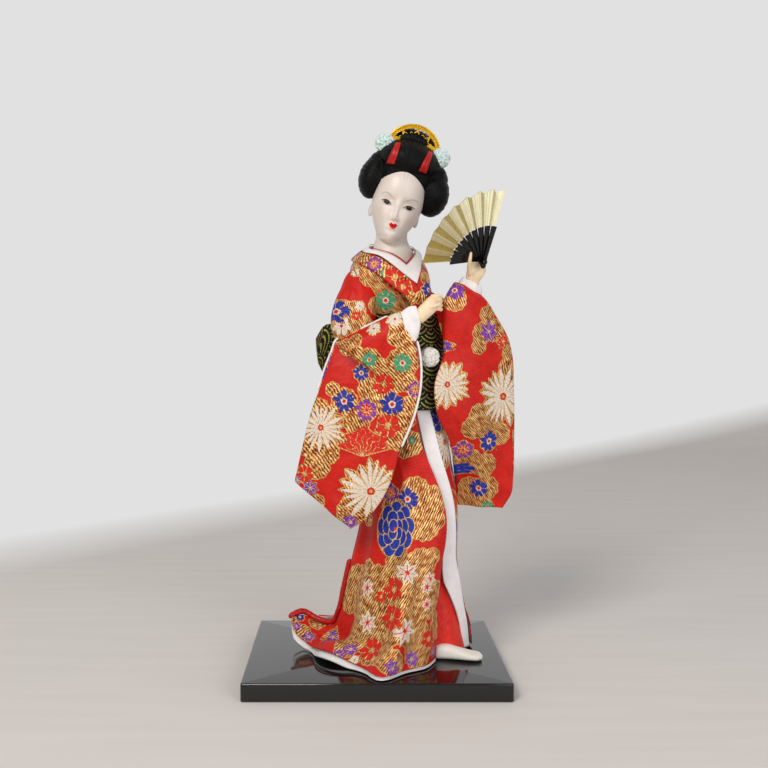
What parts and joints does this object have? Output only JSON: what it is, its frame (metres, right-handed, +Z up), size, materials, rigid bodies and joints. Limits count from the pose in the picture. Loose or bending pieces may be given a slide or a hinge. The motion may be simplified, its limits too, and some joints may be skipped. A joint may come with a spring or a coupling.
{
  "type": "kimono doll on stand",
  "caption": "Standing doll in a red and gold brocade kimono with hanging sleeves and a trailing skirt, holding an open gilt folding fan, on a black lacquered board.",
  "frame": {"origin": "centre of the board's underside", "axes": "+Z up through the doll, -Y towards the side that its face looks to, +X to a viewer's right"},
  "size_m": [0.1482, 0.108, 0.3029],
  "materials": {
    "black_lacquer": "black gloss lacquer on a wooden board",
    "steel_wire": "plain steel wire",
    "cotton_padding": "cotton padding under cloth",
    "painted_resin": "semi-gloss painted resin, flesh white",
    "hand_resin": "satin cast resin, warm flesh",
    "black_hair": "dressed black synthetic hair",
    "gilt": "bright gilt stamping",
    "red_satin": "red rayon satin",
    "pale_crepe": "gathered pale blue-green crepe",
    "white_silk": "white plain-weave rayon",
    "red_brocade": "red satin brocade with gilt thread and coloured flowers",
    "black_gold_brocade": "black brocade with gilt thread scales",
    "gold_foil": "gilt foil paper",
    "black_gloss": "black gloss",
    "white_cotton": "white cotton"
  },
  "bodies": {
    "root": {"arm_wire_left": "steel_wire", "arm_wire_right": "steel_wire", "board": "black_lacquer", "bodice": "red_brocade", "body_core": "cotton_padding", "chignon": "black_hair", "collar_piping": "red_satin", "comb": "gilt", "cuff_left": "white_silk", "cuff_right": "white_silk", "edge_band": "white_silk", "fan_guard_left": "black_gloss", "fan_guard_right": "black_gloss", "fan_leaf": "gold_foil", "fan_rivet": "black_gloss", "fan_stick_1": "black_gloss", "fan_stick_2": "black_gloss", "fan_stick_3": "black_gloss", "fan_stick_4": "black_gloss", "fan_stick_5": "black_gloss", "fan_stick_6": "black_gloss", "fan_stick_7": "black_gloss", "foot_left": "white_cotton", "foot_right": "white_cotton", "hair_flower_left": "pale_crepe", "hair_flower_right": "pale_crepe", "hair_ribbon_left": "red_satin", "hair_ribbon_right": "red_satin", "hand_left": "hand_resin", "hand_right": "hand_resin", "head": "painted_resin", "hem_roll": "red_satin", "inner_collar": "white_silk", "lapel_left": "red_brocade", "lapel_right": "red_brocade", "leg_wire_left": "steel_wire", "leg_wire_right": "steel_wire", "obi": "black_gold_brocade", "obi_flower": "white_silk", "obi_knot": "black_gold_brocade", "obi_loop_left": "black_gold_brocade", "obi_loop_right": "black_gold_brocade", "obi_tail_left": "black_gold_brocade", "obi_tail_right": "black_gold_brocade", "skirt_back": "red_brocade", "skirt_front": "red_brocade", "skirt_lining": "white_silk", "sleeve_edging_side": "white_silk", "sleeve_edging_top": "white_silk", "sleeve_left": "red_brocade", "sleeve_left_upper": "red_brocade", "sleeve_right": "red_brocade", "sleeve_right_upper": "red_brocade", "underskirt": "red_satin", "wig": "black_hair"}
  },
  "joints": []
}
